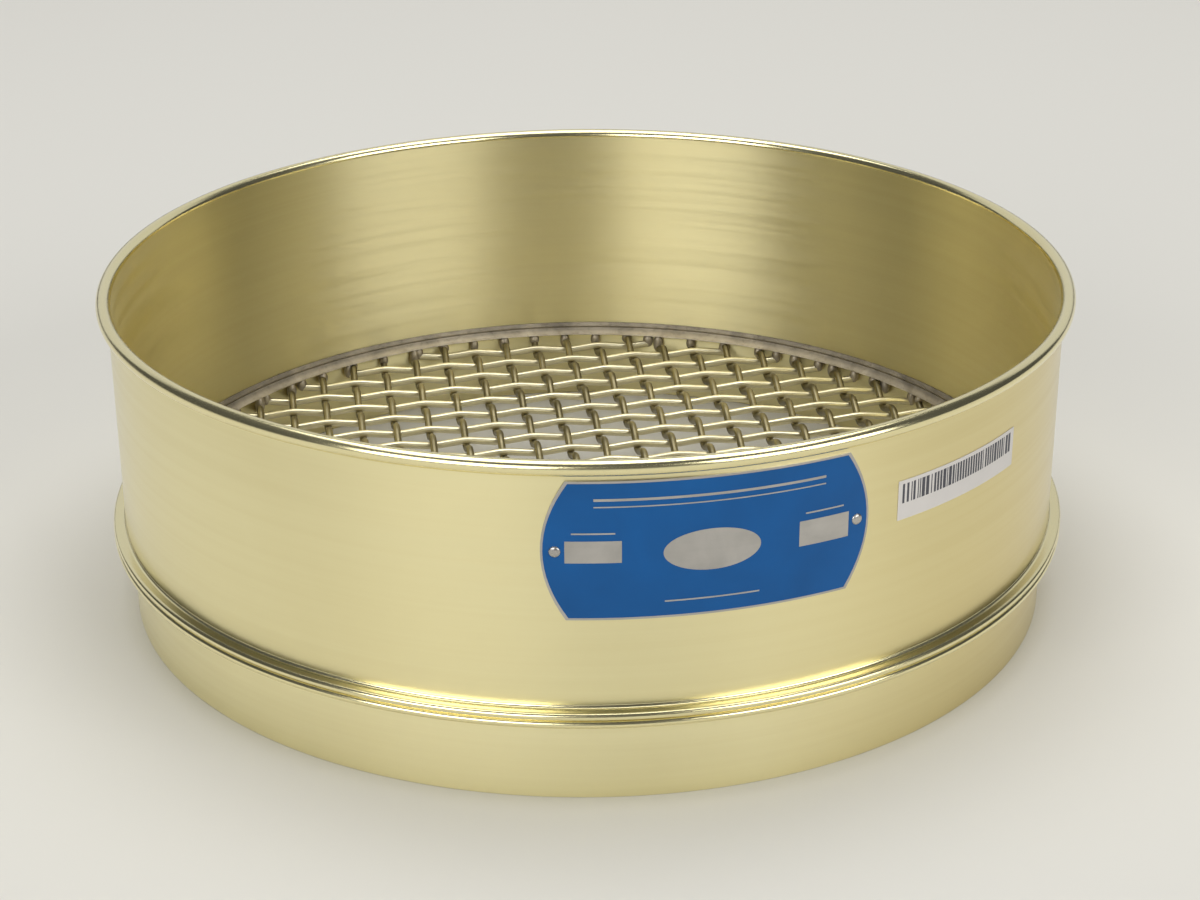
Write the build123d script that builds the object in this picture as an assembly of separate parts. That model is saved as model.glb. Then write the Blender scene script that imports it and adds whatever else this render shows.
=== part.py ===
from build123d import *

import math
import os

# A full-height laboratory test sieve: a spun brass frame with a rolled rim, a skirt ring
# that drops into the next sieve of a stack, and a disc of woven brass wire cloth soldered
# in where the two rings meet. Millimetres, +Z up. The origin is on the axis, in the plane
# of the skirt's lower edge, and the nameplate faces -Y.

# ---- frame ----
inner_diameter = 203.2      # bore of the frame, which the skirt of the next sieve drops into
overall_height = 71.5       # from the skirt's lower edge to the top of the rim
frame_wall = 0.8            # sheet of the frame body
rim_diameter = 3.1          # rolled rim, over its outside
rim_outer_flats = 3         # flats round the rolled rim, from the wall up to its top
rim_inner_flats = 2         # from its top down to the bore

# ---- skirt ----
skirt_height = 17.1         # lower edge to the underside of the skirt's hem
skirt_wall = 0.8            # sheet of the skirt ring
nest_clearance = 0.4        # radial room of a skirt in a bore

# ---- the two hems, folded outwards and seated on each other ----
hem_reach = 2.7             # how far they stand out from the frame's wall
hem_thickness = 1.65        # of one hem: the sheet folded back on itself
hem_nose = 0.5              # how far the fold of each hem tapers to its ridge
hem_bend = 0.9              # inside bend where the frame's wall turns out into its hem

# ---- wire cloth ----
mesh_opening = 6.3          # clear width between two wires
wire_diameter = 1.75
weave_gap = 0.08            # between two wires where they cross
weft_crimp_share = 0.2      # the weft lies nearly straight and the warp bends round it
cloth_drop = 0.1            # top of the cloth below the underside of the skirt's hem
cloth_angle = -4.75         # turn of the weave about the axis, degrees
warp_shift = 0.65           # place of the warp wire nearest the axis
weft_shift = -2.0           # place of the weft wire nearest the axis
wire_end_gap = 0.3          # wire ends to the skirt's inner wall
shortest_tail = 0.6         # least length of wire past its last crossing, or it ends there

# ---- solder fillet ----
solder_reach = 2.3          # inwards over the cloth, from the skirt's inner wall
solder_rise = 1.1           # up into the bend of the frame's wall, from the seam
solder_gap = 0.08           # round the fillet, to the walls behind it and the cloth below

# ---- nameplate and its pins ----
plate_width = 63.5          # round the wall, over the bowed ends
plate_height = 28.0
plate_bow = 4.6             # how far each end bows out past its corners
plate_thickness = 0.5
plate_below_rim = 1.3       # its upper edge to the underside of the rim
pin_inset = 2.65            # a pin's centre to the plate's nearer bowed end, round the wall
pin_radius = 1.1
pin_height = 0.45

# ---- paper label ----
label_width = 36.5          # round the wall
label_height = 8.1
label_thickness = 0.15
label_below_rim = 10.35     # its upper edge to the underside of the rim
label_azimuth = 32.1        # degrees from the nameplate's centre, anticlockwise from above

# ---- worked out from the above ----
bore_radius = inner_diameter / 2
wall_radius = bore_radius + frame_wall
skirt_radius = bore_radius - nest_clearance
skirt_bore_radius = skirt_radius - skirt_wall
hem_radius = wall_radius + hem_reach
seam_z = skirt_height + hem_thickness
cloth_top = skirt_height - cloth_drop
mesh_pitch = mesh_opening + wire_diameter
weft_crimp = weft_crimp_share * (wire_diameter + weave_gap)
warp_crimp = wire_diameter + weave_gap - weft_crimp
cloth_middle = cloth_top - warp_crimp - wire_diameter / 2
wire_reach = skirt_bore_radius - wire_end_gap
rim_underside = overall_height - rim_diameter
plate_z = rim_underside - plate_below_rim - plate_height / 2
label_z = rim_underside - label_below_rim - label_height / 2


def save(solid, node):
    """Write one named piece."""
    export_step(solid, f"parts/{node}.step")


def ring(corners):
    """Turn a closed section, given as (radius, height) corners, about the axis."""
    section = Plane.XZ * make_face(Polyline(*corners, close=True))
    return revolve(section, Axis.Z)


def rim_section():
    """Corners of the rolled rim, from the outside of the wall over its top to the bore."""
    radius = rim_diameter / 2
    top = math.pi / 2
    start = -math.acos((frame_wall - radius) / radius)
    outer_step = (top - start) / rim_outer_flats
    inner_step = (math.pi - top) / rim_inner_flats
    turns = [start + outer_step * flat for flat in range(rim_outer_flats)]
    turns += [top + inner_step * flat for flat in range(rim_inner_flats + 1)]
    centre_r = bore_radius + radius
    centre_z = overall_height - radius
    return [(centre_r + radius * math.cos(turn), centre_z + radius * math.sin(turn)) for turn in turns]


def frame_body():
    """Frame wall with the rolled rim above and its hem below."""
    hem = [
        (bore_radius, seam_z + hem_bend),
        (bore_radius + hem_bend, seam_z),
        (hem_radius - hem_nose, seam_z),
        (hem_radius, seam_z + hem_thickness / 2),
        (wall_radius, seam_z + hem_thickness),
    ]
    return ring(hem + rim_section())


def skirt_ring():
    """Skirt wall, topped by the hem that the frame body stands on."""
    return ring([
        (skirt_bore_radius, 0),
        (skirt_radius, 0),
        (skirt_radius, skirt_height),
        (hem_radius, seam_z - hem_thickness / 2),
        (hem_radius - hem_nose, seam_z),
        (skirt_bore_radius, seam_z),
    ])


def solder_fillet():
    """Ring of solder over the cloth's edge, seated on the step below the frame's wall."""
    foot_z = cloth_top + solder_gap
    back_radius = skirt_bore_radius - solder_gap
    bend_foot = bore_radius + hem_bend - 2 * solder_gap
    return ring([
        (skirt_bore_radius - solder_reach, foot_z),
        (back_radius, foot_z),
        (back_radius, seam_z),
        (bend_foot, seam_z),
        (bend_foot - solder_rise, seam_z + solder_rise),
    ])


def wire_places(shift):
    """Places across the cloth of one family of wires, by their number from the middle.

    The outermost is the last that is long enough to cross two wires of the other family.
    """
    reach = math.sqrt(wire_reach**2 - mesh_pitch**2) - wire_diameter / 2
    most = math.ceil((reach + abs(shift)) / mesh_pitch)
    places = {number: shift + number * mesh_pitch for number in range(-most, most + 1)}
    return {number: place for number, place in places.items() if abs(place) < reach}


def crimped_wire(number, place, crossings, crown):
    """One wire along +X at y = place, bent over and under the wires that it crosses.

    It is a four-sided bar, as wide over its corners as the wire's diameter, so that the
    openings are true and two wires come together only where they cross. It stands the
    crown's height from the middle of the cloth at each crossing, on the crown's side where
    its number and the crossing wire's add up to an even number, and on the other elsewhere.
    """
    half_length = math.sqrt(wire_reach**2 - (abs(place) + wire_diameter / 2) ** 2)
    crowns = {}
    for other, x in crossings.items():
        crowns[x] = crown if (number + other) % 2 == 0 else -crown
    bends = [x for x in sorted(crowns) if abs(x) < half_length]
    line = [(x, place, cloth_middle + crowns[x]) for x in bends]
    for end, last in ((-half_length, bends[0]), (half_length, bends[-1])):
        tail = abs(end - last)
        if tail > shortest_tail:
            drop = crowns[last] * (1 - 2 * tail / mesh_pitch)
            line.append((end, place, cloth_middle + drop))
    path = Polyline(*sorted(line))
    start = Plane(origin=path @ 0, z_dir=path % 0, x_dir=(0, 1, 0))
    section = start * RegularPolygon(radius=wire_diameter / 2, side_count=4)
    return sweep(section, path=path, transition=Transition.RIGHT)


def nameplate():
    """Curved plate with straight long edges and bowed ends."""
    reach = wall_radius + plate_thickness
    tip_x = reach * math.sin(plate_width / 2 / reach)
    corner_x = reach * math.sin((plate_width / 2 - plate_bow) / reach)
    corner_z = plate_height / 2
    outline = [
        Line((-corner_x, corner_z), (corner_x, corner_z)),
        ThreePointArc((corner_x, corner_z), (tip_x, 0), (corner_x, -corner_z)),
        Line((corner_x, -corner_z), (-corner_x, -corner_z)),
        ThreePointArc((-corner_x, -corner_z), (-tip_x, 0), (-corner_x, corner_z)),
    ]
    blank = extrude(Plane.XZ * make_face(outline), amount=2 * reach)
    shell = Cylinder(reach, 2 * plate_height) - Cylinder(wall_radius, 2 * plate_height)
    return Pos(0, 0, plate_z) * (blank & shell)


def nameplate_pins():
    """Heads of the two pins that hold the plate, seated on its face."""
    face_radius = wall_radius + plate_thickness
    head = extrude(Plane.XZ.offset(face_radius) * Circle(pin_radius), amount=pin_height)
    turn = math.degrees((plate_width / 2 - pin_inset) / face_radius)
    return Compound([Rot(Z=side * turn) * Pos(0, 0, plate_z) * head for side in (-1, 1)])


def asset_label():
    """Paper label wrapped on the wall beside the nameplate."""
    outer_radius = wall_radius + label_thickness
    low_z = label_z - label_height / 2
    high_z = label_z + label_height / 2
    arc = math.degrees(label_width / outer_radius)
    section = make_face(Polyline(
        (wall_radius, low_z),
        (outer_radius, low_z),
        (outer_radius, high_z),
        (wall_radius, high_z),
        close=True,
    ))
    sector = revolve(Plane.XZ * section, Axis.Z, revolution_arc=arc)
    return Rot(Z=label_azimuth - 90 - arc / 2) * sector


os.makedirs("parts", exist_ok=True)

save(frame_body(), "frame_body")
save(skirt_ring(), "skirt_ring")
save(solder_fillet(), "solder_fillet")
save(nameplate(), "nameplate")
save(nameplate_pins(), "nameplate_pins")
save(asset_label(), "asset_label")

# Weft wires run along the weave's own +X and warp wires along its +Y. Each passes over
# one crossing wire and under the next, and its neighbour does the opposite.
weave = Rot(Z=cloth_angle)
warp_places = wire_places(warp_shift)
weft_places = wire_places(weft_shift)

for count, (number, place) in enumerate(weft_places.items(), start=1):
    wire = crimped_wire(number, place, warp_places, weft_crimp)
    save(weave * wire, f"weft_wire_{count:02d}")

for count, (number, place) in enumerate(warp_places.items(), start=1):
    wire = crimped_wire(number, -place, weft_places, -warp_crimp)
    save(weave * Rot(Z=90) * wire, f"warp_wire_{count:02d}")
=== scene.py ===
"""Dresses a full-height laboratory test sieve: brass frame and skirt, woven wire cloth, plate and label.

Sizes are in millimetres and are the real ones. Meshes are made in millimetres about the sieve's
axis, with +Z up and the nameplate facing -Y, and are turned to metres as the last step.
"""

import logging
import math
import random
from abc import ABC, abstractmethod
from collections.abc import Callable, Iterable, Sequence
from dataclasses import dataclass, field
from enum import Enum, IntEnum
from typing import ClassVar

import bmesh
import bpy
from mathutils import Matrix, Vector


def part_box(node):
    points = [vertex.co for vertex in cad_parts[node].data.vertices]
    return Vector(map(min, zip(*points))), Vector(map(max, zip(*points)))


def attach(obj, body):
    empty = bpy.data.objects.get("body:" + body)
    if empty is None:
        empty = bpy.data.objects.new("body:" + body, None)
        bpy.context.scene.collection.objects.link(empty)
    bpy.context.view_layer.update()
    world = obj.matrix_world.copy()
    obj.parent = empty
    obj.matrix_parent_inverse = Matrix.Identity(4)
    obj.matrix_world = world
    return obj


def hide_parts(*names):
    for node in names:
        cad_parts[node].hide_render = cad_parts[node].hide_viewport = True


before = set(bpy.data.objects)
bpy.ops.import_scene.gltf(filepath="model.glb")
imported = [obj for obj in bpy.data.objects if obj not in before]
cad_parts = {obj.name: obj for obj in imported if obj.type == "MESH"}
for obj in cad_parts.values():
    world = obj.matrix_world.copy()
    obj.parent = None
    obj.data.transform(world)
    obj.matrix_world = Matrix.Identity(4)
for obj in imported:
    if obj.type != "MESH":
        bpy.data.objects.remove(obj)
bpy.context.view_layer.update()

LOG = logging.getLogger("test_sieve")
METRES = 0.001
BODY = "root"
AXIS = (0.0, 0.0, 1.0)
ORIGIN = (0.0, 0.0, 0.0)
ALONG = Vector((1.0, 0.0, 0.0))
UPWARDS = Vector((0.0, 1.0, 0.0))

Colour = tuple[float, float, float]
Material = bpy.types.Material
Mesh = bmesh.types.BMesh
Socket = bpy.types.NodeSocket
Tree = bpy.types.NodeTree


# ---------------- shader graphs


class ShaderGraph:
    """Adds nodes to one node tree and joins them."""

    def __init__(self, tree: Tree) -> None:
        """Start with an empty tree of a material, a world or a group."""
        self.tree = tree
        self.tree.nodes.clear()

    def node(self, kind: str, feeds: dict[str, object] | None = None, **settings: object) -> bpy.types.Node:
        """Add one node.

        Args:
            kind: the node's type name, without its "ShaderNode" prefix.
            feeds: what goes into its input sockets, by socket name or number: an output socket to
                link, or a constant.
            settings: the node's own properties.

        Returns:
            The new node.
        """
        made = self.tree.nodes.new(f"ShaderNode{kind}")
        for name, value in settings.items():
            setattr(made, name, value)
        for name, value in (feeds or {}).items():
            socket = made.inputs[int(name) if name.isdigit() else name]
            if isinstance(value, Socket):
                self.tree.links.new(value, socket)
            else:
                socket.default_value = value
        return made

    def math(self, operation: str, first: object, second: object) -> Socket:
        """Join two values by one Math operation and return the result's socket."""
        return self.node("Math", {"0": first, "1": second}, operation=operation).outputs[0]

    def vector(self, operation: str, first: object, second: object = ORIGIN) -> Sequence[Socket]:
        """Join two vectors by one Vector Math operation and return the node's outputs."""
        return self.node("VectorMath", {"0": first, "1": second}, operation=operation).outputs

    def remap(self, value: Socket, low: float, high: float, out_low: float, out_high: float) -> Socket:
        """Stretch a value from one range to another, held inside it, and return the result's socket."""
        feeds = {"Value": value, "From Min": low, "From Max": high, "To Min": out_low, "To Max": out_high}
        return self.node("MapRange", feeds).outputs["Result"]

    def place(self) -> Socket:
        """Return the place on the object, in metres from the sieve's own origin."""
        return self.node("TexCoord").outputs["Object"]

    def stretched_place(self, across: Socket, upwards: Socket) -> Socket:
        """Return the place on the object, scaled by one number across and another upwards."""
        scale = self.node("CombineXYZ", {"X": across, "Y": across, "Z": upwards}).outputs[0]
        return self.vector("MULTIPLY", self.place(), scale)[0]


class GroupGraph(ShaderGraph):
    """The graph of one shared group, which takes numbers and gives masks."""

    def __init__(self, name: str, inputs: dict[str, float]) -> None:
        """Make the group.

        Args:
            name: its name.
            inputs: its input sockets with their first values.
        """
        super().__init__(bpy.data.node_groups.new(name, "ShaderNodeTree"))
        for label, value in inputs.items():
            self.socket(label, "INPUT").default_value = value
        self.given = self.tree.nodes.new("NodeGroupInput").outputs

    def socket(self, label: str, side: str) -> bpy.types.NodeTreeInterfaceSocket:
        """Add a number socket to the group's "INPUT" or "OUTPUT" side."""
        return self.tree.interface.new_socket(label, in_out=side, socket_type="NodeSocketFloat")

    def result(self, masks: dict[str, Socket]) -> Tree:
        """End the group.

        Args:
            masks: what the group gives, by name.

        Returns:
            The finished group.
        """
        for label in masks:
            self.socket(label, "OUTPUT")
        end = self.tree.nodes.new("NodeGroupOutput")
        for label, mask in masks.items():
            self.tree.links.new(mask, end.inputs[label])
        return self.tree


def turned_grain() -> Tree:
    """Build the group that draws fine lines round the axis, as brushing on a lathe leaves them.

    Returns:
        A group with the height of the lines and a mask of where they run thick.
    """
    fine_share, coarse_share = 0.8, 0.2
    coarse_count = 0.24
    thin, thick = 0.35, 0.65
    graph = GroupGraph("turned_grain", {"Lines": 2600.0, "Length": 9.0, "Drift": 8.0})
    given = graph.given
    fine_place = graph.stretched_place(given["Length"], given["Lines"])
    fine = graph.node("TexNoise", {"Vector": fine_place, "Scale": 1.0, "Detail": 4.0, "Roughness": 0.65})
    coarse_lines = graph.math("MULTIPLY", given["Lines"], coarse_count)
    coarse_place = graph.stretched_place(given["Drift"], coarse_lines)
    coarse = graph.node("TexNoise", {"Vector": coarse_place, "Scale": 1.0, "Detail": 3.0, "Roughness": 0.6})
    height = graph.math("ADD", graph.math("MULTIPLY", fine.outputs["Fac"], fine_share),
                        graph.math("MULTIPLY", coarse.outputs["Fac"], coarse_share))
    tone = graph.remap(coarse.outputs["Fac"], thin, thick, 0.0, 1.0)
    return graph.result({"Height": height, "Tone": tone})


def cloudy_film() -> Tree:
    """Build the group that draws soft clouds and specks, for tarnished patches, handling marks and dust.

    Returns:
        A group with a mask of broad clouds and a mask of small specks.
    """
    cloud_range = (0.3, 0.7)
    speck_range = (0.52, 0.68)
    graph = GroupGraph("cloudy_film", {"Cloud Scale": 22.0, "Speck Scale": 900.0})
    place = graph.place()
    clouds = graph.node("TexNoise", {"Vector": place, "Scale": graph.given["Cloud Scale"], "Detail": 5.0,
                                     "Roughness": 0.55, "Distortion": 0.4})
    specks = graph.node("TexNoise", {"Vector": place, "Scale": graph.given["Speck Scale"], "Detail": 2.0})
    return graph.result({"Clouds": graph.remap(clouds.outputs["Fac"], *cloud_range, 0.0, 1.0),
                         "Specks": graph.remap(specks.outputs["Fac"], *speck_range, 0.0, 1.0)})


class Effect(Enum):
    """Shared shader groups, by name."""

    GRAIN = "turned_grain"
    FILM = "cloudy_film"

    def tree(self) -> Tree:
        """Return the group, built once."""
        builders = {Effect.GRAIN: turned_grain, Effect.FILM: cloudy_film}
        return bpy.data.node_groups.get(self.value) or builders[self]()


def opaque(colour: Colour) -> tuple[float, float, float, float]:
    """Give a colour the fourth value that a colour socket holds."""
    return (*colour, 1.0)


def shade(colour: Colour, factor: float) -> Colour:
    """Make a lighter or darker shade of a colour."""
    return tuple(channel * factor for channel in colour)


class MaterialGraph(ShaderGraph):
    """The graph of one material, which ends in a Principled surface."""

    def __init__(self, name: str) -> None:
        """Make the material.

        Args:
            name: its name, in a maker's words.
        """
        self.material = bpy.data.materials.new(name)
        self.material.use_nodes = True
        super().__init__(self.material.node_tree)

    def effect(self, effect: Effect, **values: float) -> Sequence[Socket]:
        """Place a shared group.

        Args:
            effect: which group.
            values: its inputs, with spaces written as underscores.

        Returns:
            The group node's outputs.
        """
        made = self.node("Group")
        made.node_tree = effect.tree()
        for name, value in values.items():
            made.inputs[name.replace("_", " ")].default_value = value
        return made.outputs

    def blend(self, share: Socket, first: Colour, second: Colour) -> Socket:
        """Mix two colours by a mask and return the result's socket."""
        feeds = {"0": share, "6": opaque(first), "7": opaque(second)}
        return self.node("Mix", feeds, data_type="RGBA").outputs[2]

    def spread(self, mask: Socket, middle: float, less: float, more: float | None = None) -> Socket:
        """Turn a mask into a value about a middle one, as far above as below if no more is given."""
        return self.remap(mask, 0.0, 1.0, middle - less, middle + (less if more is None else more))

    def bump(self, height: Socket, strength: float, depth: float) -> Socket:
        """Raise a height, with its depth in metres, and return the normal's socket."""
        feeds = {"Height": height, "Strength": strength, "Distance": depth}
        return self.node("Bump", feeds).outputs["Normal"]

    def surface(self, feeds: dict[str, object]) -> Material:
        """End the graph in a Principled surface.

        Args:
            feeds: the Principled sockets and what goes into each.

        Returns:
            The finished material.
        """
        shader = self.node("BsdfPrincipled", feeds)
        self.node("OutputMaterial", {"Surface": shader.outputs["BSDF"]})
        return self.material


# ---------------- finishes


@dataclass(frozen=True)
class TurnedBrass:
    """Brass sheet brushed or polished on the lathe, with painted shade darkening one side."""

    name: str
    colour: Colour = (0.90, 0.825, 0.49)
    # the darker colour serves for real tarnish and also for the painted shade on one side
    tarnish_and_painted_shade: Colour = (0.70, 0.57, 0.24)
    cloud_scale: float = 14.0
    cloud_tarnish: float = 0.15
    line_tarnish: float = 0.075
    roughness: float = 0.3
    roughness_spread: float = 0.06
    anisotropy: float = 0.7
    lines_per_metre: float = 2600.0
    line_depth: float = 0.000012
    line_strength: float = 0.25
    lacquer: float = 0.35
    lacquer_roughness: float = 0.18
    side_shade_share: float = 0.0
    side_shade_azimuth: float = 62.0
    side_shade_edge: float = 0.55

    def painted_side_shade(self, graph: MaterialGraph) -> Socket:
        """Mask the side that carries painted shade.

        Args:
            graph: the material's graph.

        Returns:
            The mask's socket, from 0 to the share of painted shade.
        """
        flat_place = graph.vector("MULTIPLY", graph.place(), (1.0, 1.0, 0.0))[0]
        outwards = graph.vector("NORMALIZE", flat_place)[0]
        turn = math.radians(self.side_shade_azimuth)
        side = (math.sin(turn), -math.cos(turn), 0.0)
        facing = graph.vector("DOT_PRODUCT", outwards, side)["Value"]
        return graph.remap(facing, self.side_shade_edge, 1.0, 0.0, self.side_shade_share)

    def material(self) -> Material:
        """Build the material, tarnished by clouds and lines, with painted shade on one side.

        Returns:
            The finished material.
        """
        graph = MaterialGraph(self.name)
        grain = graph.effect(Effect.GRAIN, Lines=self.lines_per_metre)
        film = graph.effect(Effect.FILM, Cloud_Scale=self.cloud_scale)
        share = graph.math("MULTIPLY", film["Clouds"], self.cloud_tarnish)
        share = graph.math("ADD", share, graph.math("MULTIPLY", grain["Tone"], self.line_tarnish))
        # painted shade: one side is blended further towards the darker colour
        share = graph.math("ADD", share, self.painted_side_shade(graph))
        return graph.surface({
            "Base Color": graph.blend(share, self.colour, self.tarnish_and_painted_shade),
            "Metallic": 1.0,
            "Roughness": graph.spread(grain["Tone"], self.roughness, self.roughness_spread),
            "Anisotropic": self.anisotropy,
            "Anisotropic Rotation": 0.25,
            "Coat Weight": self.lacquer,
            "Coat Roughness": self.lacquer_roughness,
            "Normal": graph.bump(grain["Height"], self.line_strength, self.line_depth),
        })


class Mask(Enum):
    """The masks of the film."""

    CLOUDS = "Clouds"
    SPECKS = "Specks"


@dataclass(frozen=True)
class FilmedFinish:
    """A finish of two colours under a film, mixed by its clouds and specks."""

    name: str
    colour: Colour
    second: Colour
    cloud_scale: float = 160.0
    speck_scale: float = 2400.0
    cloud_share: float = 1.0
    speck_share: float = 0.0
    metallic: float = 0.0
    shine: float = 0.5
    roughness: float = 0.34
    smoother: float = 0.0
    rougher: float = 0.1
    rough_mask: Mask = Mask.CLOUDS
    speck_strength: float = 0.2
    speck_depth: float = 0.00004

    def material(self) -> Material:
        """Build the material.

        Returns:
            The two colours, with the specks standing out a little.
        """
        graph = MaterialGraph(self.name)
        film = graph.effect(Effect.FILM, Cloud_Scale=self.cloud_scale, Speck_Scale=self.speck_scale)
        clouds = graph.math("MULTIPLY", film["Clouds"], self.cloud_share)
        share = graph.math("ADD", clouds, graph.math("MULTIPLY", film["Specks"], self.speck_share))
        rough_mask = film[self.rough_mask.value]
        return graph.surface({
            "Base Color": graph.blend(share, self.colour, self.second),
            "Metallic": self.metallic,
            "Specular IOR Level": self.shine,
            "Roughness": graph.spread(rough_mask, self.roughness, self.smoother, self.rougher),
            "Normal": graph.bump(film["Specks"], self.speck_strength, self.speck_depth),
        })


@dataclass(frozen=True)
class DrawnWire(FilmedFinish):
    """Drawn and crimped brass wire, dull in clouds and specks."""

    cloud_share: float = 0.55
    speck_share: float = 0.2
    metallic: float = 1.0
    smoother: float = 0.06


@dataclass(frozen=True)
class Enamel(FilmedFinish):
    """Paint filled into the etched field of a metal plate."""

    cloud_scale: float = 60.0
    speck_scale: float = 1600.0
    shine: float = 0.3
    roughness: float = 0.36
    smoother: float = 0.05
    rougher: float = 0.05
    speck_strength: float = 0.12
    speck_depth: float = 0.00003


@dataclass(frozen=True)
class Paper(FilmedFinish):
    """Matt coated paper, or the ink on it."""

    cloud_scale: float = 90.0
    speck_scale: float = 3000.0
    roughness: float = 0.6
    rough_mask: Mask = Mask.SPECKS
    speck_strength: float = 0.1
    speck_depth: float = 0.00002


@dataclass(frozen=True)
class SoftSolder:
    """Dull grey solder, laid by hand, with painted light making its flat foot paler than where it climbs
    the wall.
    """

    name: str = "soft_solder"
    colour: Colour = (0.16, 0.14, 0.112)
    bright: Colour = (0.52, 0.455, 0.345)
    foot_height: float = 0.0176
    climb_height: float = 0.0181
    foot_painted_light_share: float = 0.38
    cloud_share: float = 0.5
    metallic: float = 0.85
    roughness: float = 0.48
    rougher: float = 0.15
    speck_share: float = 0.3
    lump_strength: float = 0.5
    lump_depth: float = 0.00025

    def material(self) -> Material:
        """Build the material.

        Returns:
            Lumpy grey metal whose colour is mixed by clouds and by height, with painted light paling the
            flat foot.
        """
        graph = MaterialGraph(self.name)
        film = graph.effect(Effect.FILM, Cloud_Scale=150.0, Speck_Scale=1100.0)
        lumps = graph.math("ADD", film["Clouds"], graph.math("MULTIPLY", film["Specks"], self.speck_share))
        height = graph.node("SeparateXYZ", {"Vector": graph.place()}).outputs["Z"]
        # painted light: the flat foot takes the paler colour, as where light falls on it, and the climb the
        # darker one
        foot = graph.remap(height, self.foot_height, self.climb_height, self.foot_painted_light_share, 0.0)
        share = graph.math("ADD", foot, graph.math("MULTIPLY", film["Clouds"], self.cloud_share))
        return graph.surface({
            "Base Color": graph.blend(share, self.colour, self.bright),
            "Metallic": self.metallic,
            "Roughness": graph.spread(film["Specks"], self.roughness, 0.0, self.rougher),
            "Normal": graph.bump(lumps, self.lump_strength, self.lump_depth),
        })


@dataclass(frozen=True)
class BareSheet:
    """Bare pale metal with a fine straight grain."""

    name: str
    colour: Colour = (0.52, 0.50, 0.47)
    darker: float = 0.8
    metallic: float = 0.9
    roughness: float = 0.42
    roughness_spread: float = 0.06
    grain_strength: float = 0.2
    grain_depth: float = 0.00001

    def material(self) -> Material:
        """Build the material.

        Returns:
            Metal with raised grain, a little darker in clouds.
        """
        graph = MaterialGraph(self.name)
        grain = graph.effect(Effect.GRAIN, Lines=5200.0, Length=40.0)
        film = graph.effect(Effect.FILM, Cloud_Scale=120.0)
        return graph.surface({
            "Base Color": graph.blend(film["Clouds"], self.colour, shade(self.colour, self.darker)),
            "Metallic": self.metallic,
            "Roughness": graph.spread(grain["Tone"], self.roughness, self.roughness_spread),
            "Normal": graph.bump(grain["Height"], self.grain_strength, self.grain_depth),
        })


# ---------------- mesh tools


@dataclass(frozen=True)
class Corner:
    """One corner of a turned section: its radius and height, and the radius that rounds it."""

    radius: float
    height: float
    rounding: float = 0.0
    segments: int = 6


def turned_section(corners: Sequence[Corner], steps: int) -> Mesh:
    """Spin a closed section about the axis.

    Args:
        corners: the section's corners in order.
        steps: flats round the circle.

    Returns:
        The closed ring, in millimetres.
    """
    touching = 0.001
    bm = bmesh.new()
    verts = [bm.verts.new((corner.radius, 0.0, corner.height)) for corner in corners]
    for first, second in zip(verts, verts[1:] + verts[:1]):
        bm.edges.new((first, second))
    for vert, corner in zip(verts, corners):
        if corner.rounding > 0.0:
            bmesh.ops.bevel(bm, geom=[vert], offset=corner.rounding, offset_type="OFFSET",
                            affect="VERTICES", segments=corner.segments, profile=0.5, material=-1)
    bmesh.ops.remove_doubles(bm, verts=bm.verts, dist=touching)
    bmesh.ops.spin(bm, geom=bm.verts[:] + bm.edges[:], cent=ORIGIN, axis=AXIS, angle=math.tau, steps=steps,
                   use_merge=True, use_duplicate=False)
    return bm


def turn_about_axis(bm: Mesh, turn: Matrix) -> None:
    """Turn a mesh about the sieve's axis."""
    bmesh.ops.rotate(bm, cent=ORIGIN, matrix=turn, verts=bm.verts)


def flat_rectangle(width: float, height: float) -> Mesh:
    """Cut a flat rectangle about the origin, as one face.

    Args:
        width, height: its sizes along x and y.

    Returns:
        The flat sheet.
    """
    bm = bmesh.new()
    bmesh.ops.create_grid(bm, x_segments=1, y_segments=1, size=0.5)
    bmesh.ops.scale(bm, vec=(width, height, 1.0), verts=bm.verts)
    return bm


def cut_sheet(bm: Mesh, across: Vector, places: Iterable[float]) -> None:
    """Cut a flat sheet by straight lines at places along one direction, to bend or paint it in fields."""
    for place in places:
        bmesh.ops.bisect_plane(bm, geom=whole(bm), plane_co=across * place, plane_no=across, dist=0.0001)


def whole(bm: Mesh) -> list[object]:
    """List all vertices, edges and faces of a mesh."""
    return bm.verts[:] + bm.edges[:] + bm.faces[:]


def only_verts(geometry: Iterable[object]) -> list[bmesh.types.BMVert]:
    """Pick the vertices out of what an operator gives back."""
    return [item for item in geometry if isinstance(item, bmesh.types.BMVert)]


def raise_sheet(bm: Mesh, low: float, high: float) -> None:
    """Give a flat sheet its thickness.

    Args:
        bm: the sheet, lying at z = 0.
        low, high: how far its back and its face stand out from the wall.
    """
    bmesh.ops.translate(bm, vec=(0.0, 0.0, low), verts=bm.verts)
    grown = bmesh.ops.extrude_face_region(bm, geom=bm.faces[:], use_keep_orig=True)["geom"]
    bmesh.ops.translate(bm, vec=(0.0, 0.0, high - low), verts=only_verts(grown))


def join_meshes(parts: Iterable[Mesh]) -> Mesh:
    """Put several meshes into one and free them.

    Args:
        parts: the meshes, in order.

    Returns:
        The joined mesh.
    """
    joined = bmesh.new()
    for part in parts:
        data = bpy.data.meshes.new("part")
        part.to_mesh(data)
        part.free()
        joined.from_mesh(data)
        bpy.data.meshes.remove(data)
    return joined


def paint_faces(bm: Mesh, choose: Callable[[Vector], int]) -> None:
    """Give each face the material that a rule picks from the face's middle."""
    for face in bm.faces:
        face.material_index = choose(face.calc_center_median())


def box_middle(node: str) -> float:
    """Height of the middle of a node of the frame, in millimetres."""
    low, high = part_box(node)
    return (low.z + high.z) / 2 / METRES


def put(name: str, data: bpy.types.ID) -> bpy.types.Object:
    """Put an object on the scene.

    Args:
        name: the object's name.
        data: its mesh, lamp or camera.

    Returns:
        The object, at the origin.
    """
    made = bpy.data.objects.new(name, data)
    bpy.context.scene.collection.objects.link(made)
    return made


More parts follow.
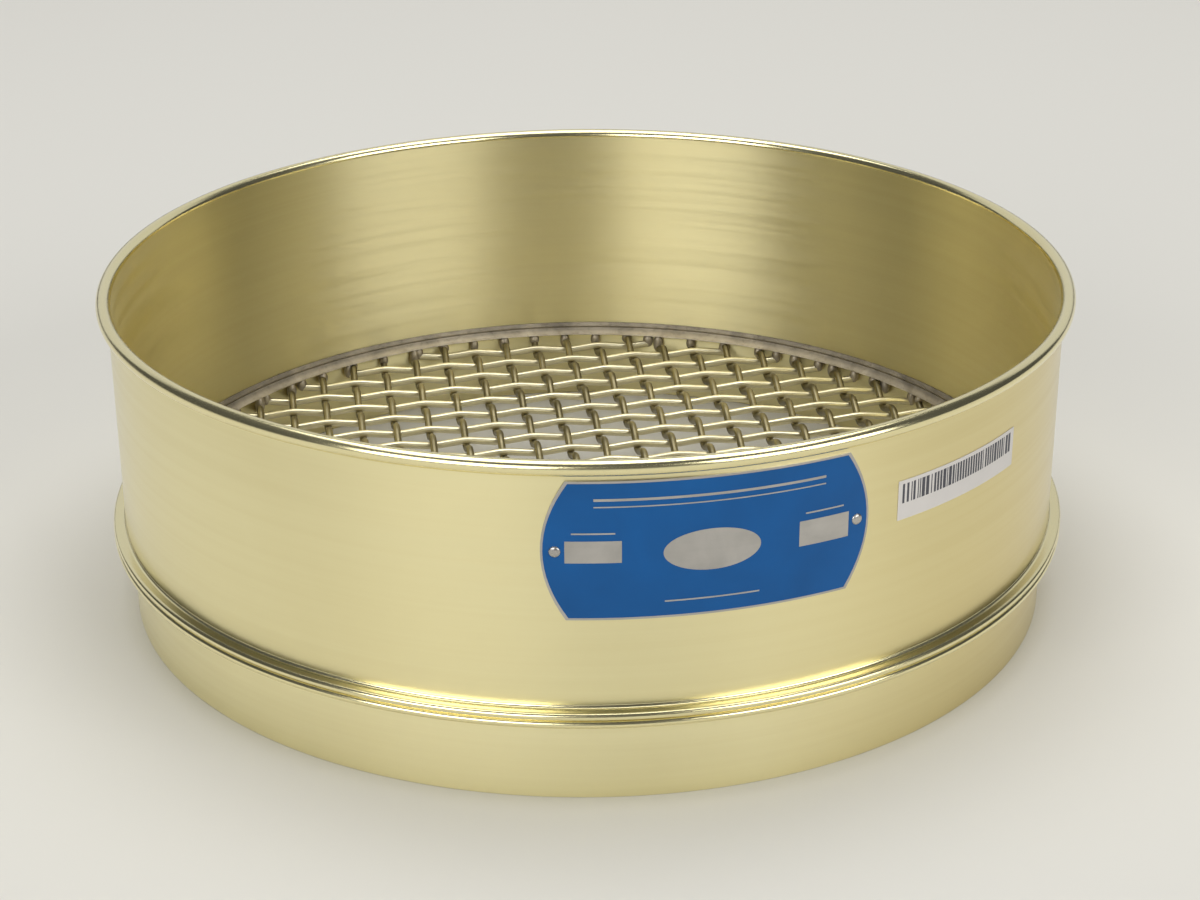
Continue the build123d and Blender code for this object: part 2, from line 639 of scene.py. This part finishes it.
@dataclass(frozen=True)
class Wall:
    """The round wall that flat things are wrapped on, and the height they are centred at."""

    radius: float
    middle: float

    def wrap(self, bm: Mesh, azimuth: float = 0.0) -> None:
        """Bend a flat sheet round the wall.

        Args:
            bm: a mesh drawn flat: x runs round the wall, y is the height and z stands out from it.
            azimuth: degrees from the nameplate's centre, anticlockwise from above, for x = 0.
        """
        turn = math.radians(azimuth - 90.0)
        for vert in bm.verts:
            along, height, proud = vert.co
            angle = turn + along / self.radius
            reach = self.radius + proud
            vert.co = (reach * math.cos(angle), reach * math.sin(angle), self.middle + height)


@dataclass
class Piece:
    """One visible piece, on its way from a mesh in millimetres to a finished object."""

    name: str
    mesh: Mesh
    finishes: Sequence[Material]
    replaces: Sequence[str]
    slot: str
    sharp_degrees: float = 40.0
    touching: float = 0.0005

    def finish(self) -> None:
        """Turn the mesh to metres, dress it and put it on the sieve."""
        bmesh.ops.remove_doubles(self.mesh, verts=self.mesh.verts, dist=self.touching)
        bmesh.ops.recalc_face_normals(self.mesh, faces=self.mesh.faces)
        bmesh.ops.scale(self.mesh, vec=(METRES, METRES, METRES), verts=self.mesh.verts)
        data = bpy.data.meshes.new(self.name)
        self.mesh.to_mesh(data)
        self.mesh.free()
        data.shade_smooth()
        data.set_sharp_from_angle(angle=math.radians(self.sharp_degrees))
        for material in self.finishes:
            data.materials.append(material)
        made = put(self.name, data)
        made.modifiers.new("weighted_normals", "WEIGHTED_NORMAL").keep_sharp = True
        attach(made, BODY)
        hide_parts(*self.replaces)
        LOG.info("%s: %d faces", self.name, len(data.polygons))


# ---------------- the sheet metal


@dataclass(frozen=True)
class SheetSizes:
    """Sizes that the frame body, the skirt and the cloth share."""

    bore_radius: float = 101.6
    frame_wall: float = 0.8
    skirt_wall: float = 0.8
    nest_clearance: float = 0.4
    skirt_height: float = 17.1
    hem_thickness: float = 1.65
    hem_reach: float = 2.66
    rim_diameter: float = 3.08
    overall_height: float = field(default_factory=lambda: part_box("frame_body")[1].z / METRES)
    flats_round: int = 288

    @property
    def wall_radius(self) -> float:
        """Outside of the frame's wall."""
        return self.bore_radius + self.frame_wall

    @property
    def skirt_radius(self) -> float:
        """Outside of the skirt."""
        return self.bore_radius - self.nest_clearance

    @property
    def skirt_bore_radius(self) -> float:
        """Inside of the skirt."""
        return self.skirt_radius - self.skirt_wall

    @property
    def hem_radius(self) -> float:
        """Outside of both hems."""
        return self.wall_radius + self.hem_reach

    @property
    def seam_z(self) -> float:
        """Height at which the two hems meet."""
        return self.skirt_height + self.hem_thickness


class BrassZone(IntEnum):
    """Material places of a turned brass piece."""

    OUTSIDE = 0
    INSIDE = 1
    ROLLED = 2


@dataclass
class TurnedSheet(ABC):
    """A ring spun from sheet brass, which takes the place of one node."""

    sizes: SheetSizes
    finishes: Sequence[Material]
    node: ClassVar[str]

    @abstractmethod
    def section(self) -> list[Corner]:
        """Corners of the sheet's section, in order."""

    @abstractmethod
    def is_rolled(self, radius: float, height: float) -> bool:
        """Tell whether a place is on a rolled rim or hem."""

    @property
    @abstractmethod
    def wall_middle(self) -> float:
        """Radius of the middle of the wall."""

    def zone(self, middle: Vector) -> BrassZone:
        """Tell which finish a face has.

        Args:
            middle: the middle of the face.

        Returns:
            Its zone.
        """
        radius = math.hypot(middle.x, middle.y)
        if self.is_rolled(radius, middle.z):
            return BrassZone.ROLLED
        return BrassZone.INSIDE if radius < self.wall_middle else BrassZone.OUTSIDE

    def build(self) -> list[Piece]:
        """Make the ring and paint its zones.

        Returns:
            The ring, as one piece.
        """
        bm = turned_section(self.section(), self.sizes.flats_round)
        paint_faces(bm, self.zone)
        return [Piece(f"{self.node}_sheet", bm, self.finishes, [self.node], "frame_brass")]


@dataclass
class FrameBody(TurnedSheet):
    """The spun frame: wall, rolled rim and the hem at its foot."""

    bend: float = 0.9
    hem_root: float = 0.7
    rim_root: float = 0.3
    top_gap: float = 0.02
    node: ClassVar[str] = "frame_body"

    @property
    def hem_top(self) -> float:
        """Height at which the hem meets the wall."""
        return self.sizes.seam_z + self.sizes.hem_thickness

    def section(self) -> list[Corner]:
        """Lay out the section, from the inside bend outwards and up.

        Returns:
            The section's corners.
        """
        sizes = self.sizes
        nose = sizes.hem_thickness / 2
        curl = sizes.rim_diameter / 2
        top = sizes.overall_height - self.top_gap
        rim_radius = sizes.bore_radius + sizes.rim_diameter
        return [
            Corner(sizes.bore_radius, sizes.seam_z, self.bend, 5),
            Corner(sizes.hem_radius, sizes.seam_z, nose),
            Corner(sizes.hem_radius, self.hem_top, nose),
            Corner(sizes.wall_radius, self.hem_top, self.hem_root, 5),
            Corner(sizes.wall_radius, top - sizes.rim_diameter, self.rim_root, 4),
            Corner(rim_radius, top - sizes.rim_diameter, curl, 9),
            Corner(rim_radius, top, curl, 9),
            Corner(sizes.bore_radius, top, curl, 9),
        ]

    def is_rolled(self, radius: float, height: float) -> bool:
        """Tell whether a place is on the rim or the hem."""
        on_hem = height < self.hem_top + self.hem_root and radius > self.sizes.wall_radius
        return on_hem or height > self.sizes.overall_height - self.sizes.rim_diameter - self.rim_root

    @property
    def wall_middle(self) -> float:
        """Radius of the middle of the frame's wall."""
        return self.sizes.wall_radius - self.sizes.frame_wall / 2


@dataclass
class SkirtRing(TurnedSheet):
    """The skirt that drops into the next sieve, with the hem that carries the frame."""

    edge_rounding: float = 0.3
    hem_root: float = 0.35
    node: ClassVar[str] = "skirt_ring"

    def section(self) -> list[Corner]:
        """Lay out the section, from the lower edge outwards and up.

        Returns:
            The section's corners.
        """
        sizes = self.sizes
        nose = sizes.hem_thickness / 2
        return [
            Corner(sizes.skirt_bore_radius, 0.0, self.edge_rounding, 3),
            Corner(sizes.skirt_radius, 0.0, self.edge_rounding, 3),
            Corner(sizes.skirt_radius, sizes.skirt_height, self.hem_root, 3),
            Corner(sizes.hem_radius, sizes.skirt_height, nose),
            Corner(sizes.hem_radius, sizes.seam_z, nose),
            Corner(sizes.skirt_bore_radius, sizes.seam_z, self.edge_rounding, 3),
        ]

    def is_rolled(self, radius: float, height: float) -> bool:
        """Tell whether a place is on the hem."""
        return height > self.sizes.skirt_height - self.hem_root and radius > self.sizes.skirt_radius

    @property
    def wall_middle(self) -> float:
        """Radius of the middle of the skirt's wall."""
        return self.sizes.skirt_radius - self.sizes.skirt_wall / 2


@dataclass
class SolderFillet:
    """Solder that seals the edge of the cloth, run round by hand."""

    sizes: SheetSizes
    finish: Material
    wire_ends: Sequence[Vector]
    reach: float = 2.3
    rise: float = 0.7
    gap: float = 0.08
    foot_lap: float = 0.02
    climb_foot: float = 0.1
    slope_run: float = 1.3
    slope_rise: float = 0.6
    toe_rounding: float = 0.3
    slope_rounding: float = 1.6
    waver: float = 0.35
    lift: float = 0.2
    wave_counts: Sequence[int] = (3, 7, 16, 31, 58)
    wave_shares: Sequence[float] = (0.3, 0.25, 0.2, 0.15, 0.1)
    drop_depth: float = 1.2
    drop_width: float = 1.2
    drop_below: float = 0.95
    drop_more: float = 0.15
    drop_lap: float = 0.2
    drop_sink: float = 0.72
    width_range: tuple[float, float] = (0.9, 1.15)
    seed: int = 11

    @property
    def toe(self) -> float:
        """Radius of the fillet's inner edge."""
        return self.sizes.skirt_bore_radius - self.reach

    def section(self) -> list[Corner]:
        """Lay out the section, from its inner toe outwards and up.

        Returns:
            The section's corners.
        """
        sizes = self.sizes
        foot = sizes.skirt_height - self.foot_lap
        back = sizes.skirt_bore_radius - self.gap
        climb = sizes.bore_radius - self.gap
        return [
            Corner(self.toe, foot, self.toe_rounding, 4),
            Corner(back, foot),
            Corner(back, sizes.seam_z),
            Corner(climb + self.climb_foot, sizes.seam_z),
            Corner(climb, sizes.seam_z + self.rise),
            Corner(self.toe + self.slope_run, foot + self.slope_rise, self.slope_rounding, 6),
        ]

    def wave(self, angle: float, phases: Sequence[float]) -> float:
        """Tell how far the hand-laid edge wanders at an angle in radians, from -1 to 1."""
        waves = zip(self.wave_counts, self.wave_shares, phases)
        return sum(share * math.sin(count * angle + phase) for count, share, phase in waves)

    def run(self, draw: random.Random) -> Mesh:
        """Make the run of solder, with its toe and its crest uneven.

        Args:
            draw: the source of where the waves start.

        Returns:
            The ring of solder.
        """
        bm = turned_section(self.section(), self.sizes.flats_round * 2)
        toe_phases = [draw.uniform(0.0, math.tau) for _ in self.wave_counts]
        lift_phases = [draw.uniform(0.0, math.tau) for _ in self.wave_counts]
        for vert in bm.verts:
            radius = math.hypot(vert.co.x, vert.co.y)
            angle = math.atan2(vert.co.y, vert.co.x)
            loose = max(0.0, 1.0 - (radius - self.toe) / self.reach)
            scale = 1.0 + self.waver * loose * self.wave(angle, toe_phases) / radius
            vert.co.x *= scale
            vert.co.y *= scale
            if vert.co.z > self.sizes.skirt_height + self.climb_foot:
                vert.co.z += self.lift * loose * self.wave(angle, lift_phases)
        return bm

    def drop(self, end: Vector, draw: random.Random) -> Mesh:
        """Make the solder that has run down round the end of one wire.

        Args:
            end: the middle of the wire's end.
            draw: the source of the small differences between the drops.

        Returns:
            The drop's mesh, from just under the wire up into the run.
        """
        top = self.sizes.skirt_height + self.drop_lap
        foot = end.z - self.drop_below - draw.uniform(0.0, self.drop_more)
        width = self.drop_width * draw.uniform(*self.width_range)
        radius = self.sizes.skirt_bore_radius - self.drop_depth * self.drop_sink
        bm = bmesh.new()
        bmesh.ops.create_icosphere(bm, subdivisions=3, radius=1.0)
        bmesh.ops.scale(bm, vec=(self.drop_depth, width, (top - foot) / 2), verts=bm.verts)
        bmesh.ops.translate(bm, vec=(radius, 0.0, (top + foot) / 2), verts=bm.verts)
        turn_about_axis(bm, Matrix.Rotation(math.atan2(end.y, end.x), 3, "Z"))
        return bm

    def build(self) -> list[Piece]:
        """Make the run and a drop at each end of every wire.

        Returns:
            The solder, as one piece.
        """
        draw = random.Random(self.seed)
        run = self.run(draw)
        solder = join_meshes([run, *(self.drop(end, draw) for end in self.wire_ends)])
        return [Piece("solder_fillet_run", solder, [self.finish], ["solder_fillet"], "solder")]


# ---------------- the wire cloth


class Family(Enum):
    """The two families of wires in the cloth."""

    WEFT = "weft_wire"
    WARP = "warp_wire"


@dataclass(frozen=True)
class LaidWire:
    """One wire as it lies: drawn along +X at its place, then turned about the axis."""

    node: str
    family: Family
    place: float
    crossings: dict[int, float]
    crown: float
    turn: Matrix


@dataclass
class WireCloth:
    """Woven cloth of crimped round wires, each a piece of its own."""

    sizes: SheetSizes
    finishes: dict[Family, Material]
    mesh_opening: float = 6.3
    wire_diameter: float = 1.75
    weave_gap: float = 0.08
    cloth_drop: float = 0.1
    cloth_angle: float = -4.75
    warp_shift: float = 0.65
    weft_shift: float = -2.0
    wire_end_gap: float = 0.3
    shortest_tail: float = 0.6
    sides: int = 12
    steps_per_pitch: int = 8
    fewest_steps: int = 4
    crown_flatness: float = 0.8
    weft_share: float = 0.2
    sharp_degrees: float = 60.0

    @property
    def pitch(self) -> float:
        """From one wire to the next."""
        return self.mesh_opening + self.wire_diameter

    @property
    def middle(self) -> float:
        """Height of the middle of the cloth."""
        return self.sizes.skirt_height - self.cloth_drop - self.crimp(Family.WARP) - self.wire_diameter / 2

    @property
    def reach(self) -> float:
        """How far the wires reach from the axis."""
        return self.sizes.skirt_bore_radius - self.wire_end_gap

    def crimp(self, family: Family) -> float:
        """How far the crowns of a family of wires stand from the middle of the cloth."""
        share = self.weft_share if family is Family.WEFT else 1.0 - self.weft_share
        return share * (self.wire_diameter + self.weave_gap)

    def places(self, shift: float) -> dict[int, float]:
        """Lay out one family of wires across the cloth.

        Args:
            shift: the place of wire number 0.

        Returns:
            The places of the wires that are long enough, by their numbers.
        """
        longest = math.sqrt(self.reach**2 - self.pitch**2) - self.wire_diameter / 2
        most = math.ceil((longest + abs(shift)) / self.pitch)
        found = {number: shift + number * self.pitch for number in range(-most, most + 1)}
        return {number: place for number, place in found.items() if abs(place) < longest}

    def laid(self) -> Iterable[LaidWire]:
        """Lay every wire of both families.

        Yields:
            Each wire, the weft first.
        """
        warp = self.places(self.warp_shift)
        weft = self.places(self.weft_shift)
        plan = (
            (Family.WEFT, weft, warp, 1.0, 0.0),
            (Family.WARP, warp, weft, -1.0, 90.0),
        )
        for family, own, crossed, side, quarter in plan:
            turn = Matrix.Rotation(math.radians(self.cloth_angle + quarter), 3, "Z")
            for count, (number, place) in enumerate(own.items(), start=1):
                crown = side * self.crimp(family) * (1.0 if number % 2 == 0 else -1.0)
                yield LaidWire(f"{family.value}_{count:02d}", family, side * place, crossed, crown, turn)

    def ends(self, laid: LaidWire) -> tuple[float, float]:
        """Tell where a wire starts and ends along its own length.

        Args:
            laid: the wire.

        Returns:
            Its two ends, cut back to the last crossing where the tail would be too short to hold.
        """
        half = math.sqrt(self.reach**2 - (abs(laid.place) + self.wire_diameter / 2) ** 2)
        met = sorted(x for x in laid.crossings.values() if abs(x) < half)
        low = -half if met[0] + half > self.shortest_tail else met[0]
        high = half if half - met[-1] > self.shortest_tail else met[-1]
        return low, high

    def lift(self, laid: LaidWire, x: float) -> tuple[float, float]:
        """Follow the crimp of a wire.

        Args:
            laid: the wire, with a crown where it crosses wire number 0.
            x: the place along the wire.

        Returns:
            The height of the wire's middle, and its slope.
        """
        turn = math.pi * (x - laid.crossings[0]) / self.pitch
        flat = self.crown_flatness
        height = laid.crown * math.asin(flat * math.cos(turn)) / math.asin(flat)
        steep = -laid.crown * flat * math.sin(turn) * math.pi / self.pitch
        slope = steep / (math.asin(flat) * math.sqrt(1.0 - (flat * math.cos(turn)) ** 2))
        return self.middle + height, slope

    def wire(self, laid: LaidWire) -> Mesh:
        """Draw one wire, crimp it and turn it to its place.

        Args:
            laid: how it lies.

        Returns:
            The wire's mesh.
        """
        low, high = self.ends(laid)
        rings = max(self.fewest_steps, round((high - low) / self.pitch * self.steps_per_pitch))
        upright = Matrix.Rotation(math.pi / 2, 4, "Y")
        bm = bmesh.new()
        bmesh.ops.create_circle(bm, cap_ends=True, segments=self.sides, radius=self.wire_diameter / 2,
                                matrix=upright)
        bmesh.ops.translate(bm, vec=(low, 0.0, 0.0), verts=bm.verts)
        grown = bmesh.ops.extrude_face_region(bm, geom=bm.faces[:])["geom"]
        bmesh.ops.translate(bm, vec=(high - low, 0.0, 0.0), verts=only_verts(grown))
        long_edges = [edge for edge in bm.edges if edge.calc_length() > self.wire_diameter]
        bmesh.ops.subdivide_edges(bm, edges=long_edges, cuts=rings - 1, use_grid_fill=True)
        for vert in bm.verts:
            height, slope = self.lift(laid, vert.co.x)
            tilt = math.atan(slope)
            vert.co = (vert.co.x - vert.co.z * math.sin(tilt), laid.place + vert.co.y,
                       height + vert.co.z * math.cos(tilt))
        turn_about_axis(bm, laid.turn)
        return bm

    def end_points(self) -> list[Vector]:
        """Find the middles of the two ends of every wire."""
        return [laid.turn @ Vector((end, laid.place, self.lift(laid, end)[0]))
                for laid in self.laid() for end in self.ends(laid)]

    def build(self) -> list[Piece]:
        """Make every wire of both families, a piece each."""
        return [Piece(f"{laid.node}_drawn", self.wire(laid), [self.finishes[laid.family]], [laid.node],
                      "cloth_wire", self.sharp_degrees) for laid in self.laid()]


# ---------------- plate, pins and label


@dataclass(frozen=True)
class Panel:
    """A bare panel left in the enamel: its centre and size, and whether it is an oval."""

    along: float
    up: float
    width: float
    height: float
    oval: bool = False

    def outline(self) -> Mesh:
        """Cut the panel flat, facing up.

        Returns:
            A sheet of one face.
        """
        if self.oval:
            bm = bmesh.new()
            bmesh.ops.create_circle(bm, cap_ends=True, segments=72, radius=0.5)
            bmesh.ops.scale(bm, vec=(self.width, self.height, 1.0), verts=bm.verts)
        else:
            bm = flat_rectangle(self.width, self.height)
        bmesh.ops.translate(bm, vec=(self.along, self.up, 0.0), verts=bm.verts)
        return bm


class PlateZone(IntEnum):
    """Material places of the nameplate."""

    BARE = 0
    ENAMEL = 1


@dataclass
class NamePlate:
    """Curved plate with bowed ends, an enamelled field, bare panels and two pins."""

    sizes: SheetSizes
    bare: Material
    enamel: Material
    pin_metal: Material
    width: float = 63.5
    height: float = 28.0
    bow: float = 4.6
    wall_gap: float = 0.02
    base_thickness: float = 0.42
    enamel_face: float = 0.45
    enamel_sunk: float = 0.05
    panel_face: float = 0.48
    panel_sunk: float = 0.02
    border: float = 0.45
    column_width: float = 1.0
    bow_rows: int = 16
    pin_inset: float = 2.65
    pin_radius: float = 1.1
    pin_height: float = 0.42
    panels: Sequence[Panel] = (
        Panel(-22.1, -0.1, 10.4, 4.4),
        Panel(22.0, -0.45, 10.4, 5.1),
        Panel(-0.1, -0.75, 18.4, 8.3, oval=True),
    )
    rules: Sequence[Panel] = (
        Panel(0.0, 10.3, 44.0, 0.5),
        Panel(0.0, 8.9, 44.0, 0.25),
        Panel(-22.1, 3.6, 8.0, 0.3),
        Panel(22.0, 3.6, 8.0, 0.3),
        Panel(0.0, -10.6, 18.0, 0.3),
    )

    def outline(self, inset: float) -> Mesh:
        """Cut the plate's outline flat, with its ends bowed out.

        Args:
            inset: how far inside the plate's edge.

        Returns:
            A flat sheet, one face wide.
        """
        bm = bmesh.new()
        bmesh.ops.create_grid(bm, x_segments=1, y_segments=self.bow_rows, size=1.0)
        half_width = self.width / 2 - inset
        half_height = self.height / 2 - inset
        for vert in bm.verts:
            side, up, _ = vert.co
            vert.co = (side * (half_width - self.bow * up * up), up * half_height, 0.0)
        return bm

    def layer(self, sheet: Mesh, low: float, high: float, zone: PlateZone) -> Mesh:
        """Make one layer of the plate, ready to bend.

        Args:
            sheet: its flat outline.
            low, high: how far its back and its face stand out from the wall.
            zone: its finish.

        Returns:
            The same mesh, sliced, raised and painted.
        """
        count = round(self.width / self.column_width)
        cut_sheet(sheet, ALONG, ((index / count - 0.5) * self.width for index in range(1, count)))
        raise_sheet(sheet, low, high)
        paint_faces(sheet, lambda middle: zone)
        return sheet

    def plate(self) -> Mesh:
        """Stack the bare sheet, its enamel, and the bare panels and rules in it.

        Returns:
            The flat plate.
        """
        base = self.base_thickness
        enamel_foot, panel_foot = base - self.enamel_sunk, base - self.panel_sunk
        bared = (*self.panels, *self.rules)
        return join_meshes([
            self.layer(self.outline(0.0), self.wall_gap, base, PlateZone.BARE),
            self.layer(self.outline(self.border), enamel_foot, self.enamel_face, PlateZone.ENAMEL),
            *(self.layer(panel.outline(), panel_foot, self.panel_face, PlateZone.BARE) for panel in bared),
        ])

    def pins(self) -> Mesh:
        """Make the two domed pin heads.

        Returns:
            Both heads, flat under their domes, in one mesh.
        """
        bm = bmesh.new()
        for side in (-1.0, 1.0):
            ball = bmesh.ops.create_uvsphere(bm, u_segments=24, v_segments=12, radius=self.pin_radius)
            head = ball["verts"]
            bmesh.ops.scale(bm, vec=(1.0, 1.0, self.pin_height / self.pin_radius), verts=head)
            along = side * (self.width / 2 - self.pin_inset)
            bmesh.ops.translate(bm, vec=(along, 0.0, self.enamel_face), verts=head)
        bmesh.ops.bisect_plane(bm, geom=whole(bm), clear_inner=True, plane_co=(0.0, 0.0, self.enamel_face),
                               plane_no=AXIS)
        bmesh.ops.holes_fill(bm, edges=[edge for edge in bm.edges if edge.is_boundary])
        return bm

    def build(self) -> list[Piece]:
        """Make the plate and its pins, bent to the wall.

        Returns:
            The plate and the pins, a piece each.
        """
        wall = Wall(self.sizes.wall_radius, box_middle("nameplate"))
        plate = self.plate()
        pins = self.pins()
        wall.wrap(plate)
        wall.wrap(pins)
        return [
            Piece("nameplate_etched", plate, [self.bare, self.enamel], ["nameplate"], "plate_enamel"),
            Piece("nameplate_pin_heads", pins, [self.pin_metal], ["nameplate_pins"], "pin_metal"),
        ]


class LabelZone(IntEnum):
    """Material places of the label."""

    PAPER = 0
    INK = 1


@dataclass
class AssetLabel:
    """Paper label with a row of plain bars of uneven width."""

    sizes: SheetSizes
    paper: Material
    ink: Material
    width: float = 36.5
    height: float = 8.1
    wall_gap: float = 0.01
    thickness: float = 0.13
    azimuth: float = 32.1
    margin: float = 1.0
    bars_top: float = 3.3
    bars_foot: float = -0.7
    thinnest: float = 0.28
    bar_widths: Sequence[int] = (1, 2, 2, 3)
    gap_widths: Sequence[int] = (1, 1, 2)
    seed: int = 5

    def bars(self) -> list[tuple[float, float]]:
        """Draw the row of bars.

        Returns:
            Where each bar starts and stops along the label.
        """
        draw = random.Random(self.seed)
        edges = [self.margin - self.width / 2]
        while edges[-1] < self.width / 2 - self.margin - 2 * self.thinnest:
            widths = self.bar_widths if len(edges) % 2 else self.gap_widths
            edges.append(edges[-1] + self.thinnest * draw.choice(widths))
        return list(zip(edges[::2], edges[1::2]))

    def is_printed(self, middle: Vector, bars: Sequence[tuple[float, float]]) -> bool:
        """Tell whether the middle of a face is on the printed side of a bar."""
        on_face = self.bars_foot < middle.y < self.bars_top and middle.z > self.thickness / 2
        return on_face and any(low < middle.x < high for low, high in bars)

    def build(self) -> list[Piece]:
        """Make the label, printed and bent to the wall.

        Returns:
            The label, as one piece.
        """
        bars = self.bars()
        bm = flat_rectangle(self.width, self.height)
        cut_sheet(bm, ALONG, (edge for bar in bars for edge in bar))
        cut_sheet(bm, UPWARDS, (self.bars_foot, self.bars_top))
        raise_sheet(bm, self.wall_gap, self.thickness)
        paint_faces(bm, lambda middle: LabelZone.INK if self.is_printed(middle, bars) else LabelZone.PAPER)
        Wall(self.sizes.wall_radius, box_middle("asset_label")).wrap(bm, self.azimuth)
        return [Piece("asset_label_printed", bm, [self.paper, self.ink], ["asset_label"], "label_paper")]


# ---------------- studio


def direction(azimuth: float, elevation: float) -> Vector:
    """Point from the sieve by degrees round its axis from the nameplate and degrees above the floor."""
    turn, lift = math.radians(azimuth), math.radians(elevation)
    return Vector((math.cos(lift) * math.sin(turn), -math.cos(lift) * math.cos(turn), math.sin(lift)))


@dataclass(frozen=True)
class Softbox:
    """A soft lamp: where it stands as seen from the sieve, its size in metres and its power in watts."""

    name: str
    azimuth: float
    elevation: float
    distance: float
    width: float
    height: float
    power: float

    def hang(self, camera_azimuth: float) -> None:
        """Hang the lamp, facing the sieve.

        Args:
            camera_azimuth: degrees of the camera's own direction, from which the lamp's azimuth counts.
        """
        away = direction(camera_azimuth + self.azimuth, self.elevation)
        data = bpy.data.lights.new(self.name, "AREA")
        data.shape = "RECTANGLE"
        data.size = self.width
        data.size_y = self.height
        data.energy = self.power
        lamp = put(self.name, data)
        lamp.location = away * self.distance
        lamp.rotation_euler = away.to_track_quat("Z", "Y").to_euler()


@dataclass(frozen=True)
class StudioCamera:
    """The camera: its lens, where it stands about its target in metres and degrees, and its framing."""

    lens: float = 73.16
    sensor: float = 36.0
    target_z: float = 0.02766
    distance: float = 0.54645
    azimuth: float = -12.95
    elevation: float = 23.954
    roll: float = -0.38
    shift_x: float = 0.01112
    nearest: float = 0.01

    def set_up(self) -> None:
        """Set the camera up and make it the scene's own."""
        back = direction(self.azimuth, self.elevation)
        data = bpy.data.cameras.new("studio_camera")
        data.sensor_fit = "HORIZONTAL"
        data.sensor_width = self.sensor
        data.lens = self.lens
        data.shift_x = self.shift_x
        data.clip_start = self.nearest
        stand = Matrix.Translation(back * self.distance + Vector((0.0, 0.0, self.target_z)))
        facing = back.to_track_quat("Z", "Y").to_matrix().to_4x4()
        made = put("studio_camera", data)
        made.matrix_world = stand @ facing @ Matrix.Rotation(math.radians(self.roll), 4, "Z")
        bpy.context.scene.camera = made


@dataclass
class Studio:
    """Pale floor, soft lamps, fill and the camera."""

    camera: StudioCamera = field(default_factory=StudioCamera)
    floor_size: float = 6.0
    floor_colour: Colour = (0.70, 0.685, 0.635)
    floor_roughness: float = 0.9
    fill_colour: Colour = (0.93, 0.96, 1.0)
    fill_strength: float = 0.08
    lamps: Sequence[Softbox] = (
        Softbox("softbox_left", -29.5, 24.0, 2.0, 1.4, 0.9, 18.0),
        Softbox("softbox_right", 48.0, 24.0, 2.0, 1.4, 0.9, 15.5),
        Softbox("softbox_top", 180.0, 82.0, 1.8, 1.8, 1.4, 24.5),
        Softbox("softbox_back", 180.0, 28.0, 2.0, 4.5, 1.5, 12.0),
    )

    def lay_floor(self) -> None:
        """Lay the pale floor."""
        bm = flat_rectangle(self.floor_size, self.floor_size)
        data = bpy.data.meshes.new("studio_floor")
        bm.to_mesh(data)
        bm.free()
        paper = {"Base Color": opaque(self.floor_colour), "Roughness": self.floor_roughness,
                 "Specular IOR Level": 0.0}
        data.materials.append(MaterialGraph("studio_paper").surface(paper))
        put("studio_floor", data)

    def fill(self) -> None:
        """Fill the room with an even pale light."""
        world = bpy.data.worlds.new("studio_room")
        bpy.context.scene.world = world
        world.use_nodes = True
        graph = ShaderGraph(world.node_tree)
        room = graph.node("Background", {"Color": opaque(self.fill_colour), "Strength": self.fill_strength})
        graph.node("OutputWorld", {"Surface": room.outputs["Background"]})

    def build(self) -> None:
        """Set up the floor, the light and the camera."""
        bpy.context.scene.view_settings.view_transform = "Standard"
        self.camera.set_up()
        self.lay_floor()
        self.fill()
        for lamp in self.lamps:
            lamp.hang(self.camera.azimuth)


# ---------------- the sieve


def main() -> None:
    """Build the sieve, light it, and report each piece."""
    logging.basicConfig(level=logging.INFO, format="%(name)s %(message)s")
    sizes = SheetSizes()
    # the outside and the skirt get painted shade on one side
    outer = {"line_strength": 0.08, "roughness_spread": 0.02, "side_shade_share": 0.6}
    outside = TurnedBrass("brass_outside", **outer).material()
    # painted light: the skirt's brass is paler than the frame's, to lift the shade it sits in near the
    # floor
    skirt = TurnedBrass("brass_skirt", (0.97, 0.90, 0.56), **outer).material()
    inside = TurnedBrass("brass_inside", roughness=0.42, anisotropy=0.85, line_strength=0.22,
                         lacquer=0.0).material()
    rolled = TurnedBrass("brass_rolled", roughness=0.22, anisotropy=0.3, line_strength=0.1).material()
    weft = DrawnWire("weft_brass_wire", (0.78, 0.72, 0.50), (0.60, 0.53, 0.33))
    # painted shade: the warp wires' brass is a much darker copy of the weft's, standing in for the shade
    # they lie in
    warp = DrawnWire("warp_brass_wire", (0.26, 0.225, 0.13), (0.16, 0.135, 0.07), roughness=0.4)
    bare = BareSheet("etched_aluminium").material()
    pin_metal = BareSheet("pin_steel", roughness=0.3).material()
    white, black, blue = (0.68, 0.65, 0.62), (0.06, 0.06, 0.075), (0.0, 0.07, 0.235)
    paper = Paper("label_paper", white, shade(white, 0.94)).material()
    ink = Paper("label_ink", black, shade(black, 0.94), roughness=0.5).material()
    enamel = Enamel("blue_enamel", blue, shade(blue, 1.25)).material()
    cloth = WireCloth(sizes, {Family.WEFT: weft.material(), Family.WARP: warp.material()})
    assemblies = (
        FrameBody(sizes, (outside, inside, rolled)),
        SkirtRing(sizes, (skirt, inside, rolled)),
        SolderFillet(sizes, SoftSolder().material(), cloth.end_points()),
        cloth,
        NamePlate(sizes, bare, enamel, pin_metal),
        AssetLabel(sizes, paper, ink),
    )
    count = 0
    for assembly in assemblies:
        for piece in assembly.build():
            piece.finish()
            count += 1
    Studio().build()
    LOG.info("%d pieces in all", count)


if __name__ == "__main__":
    main()
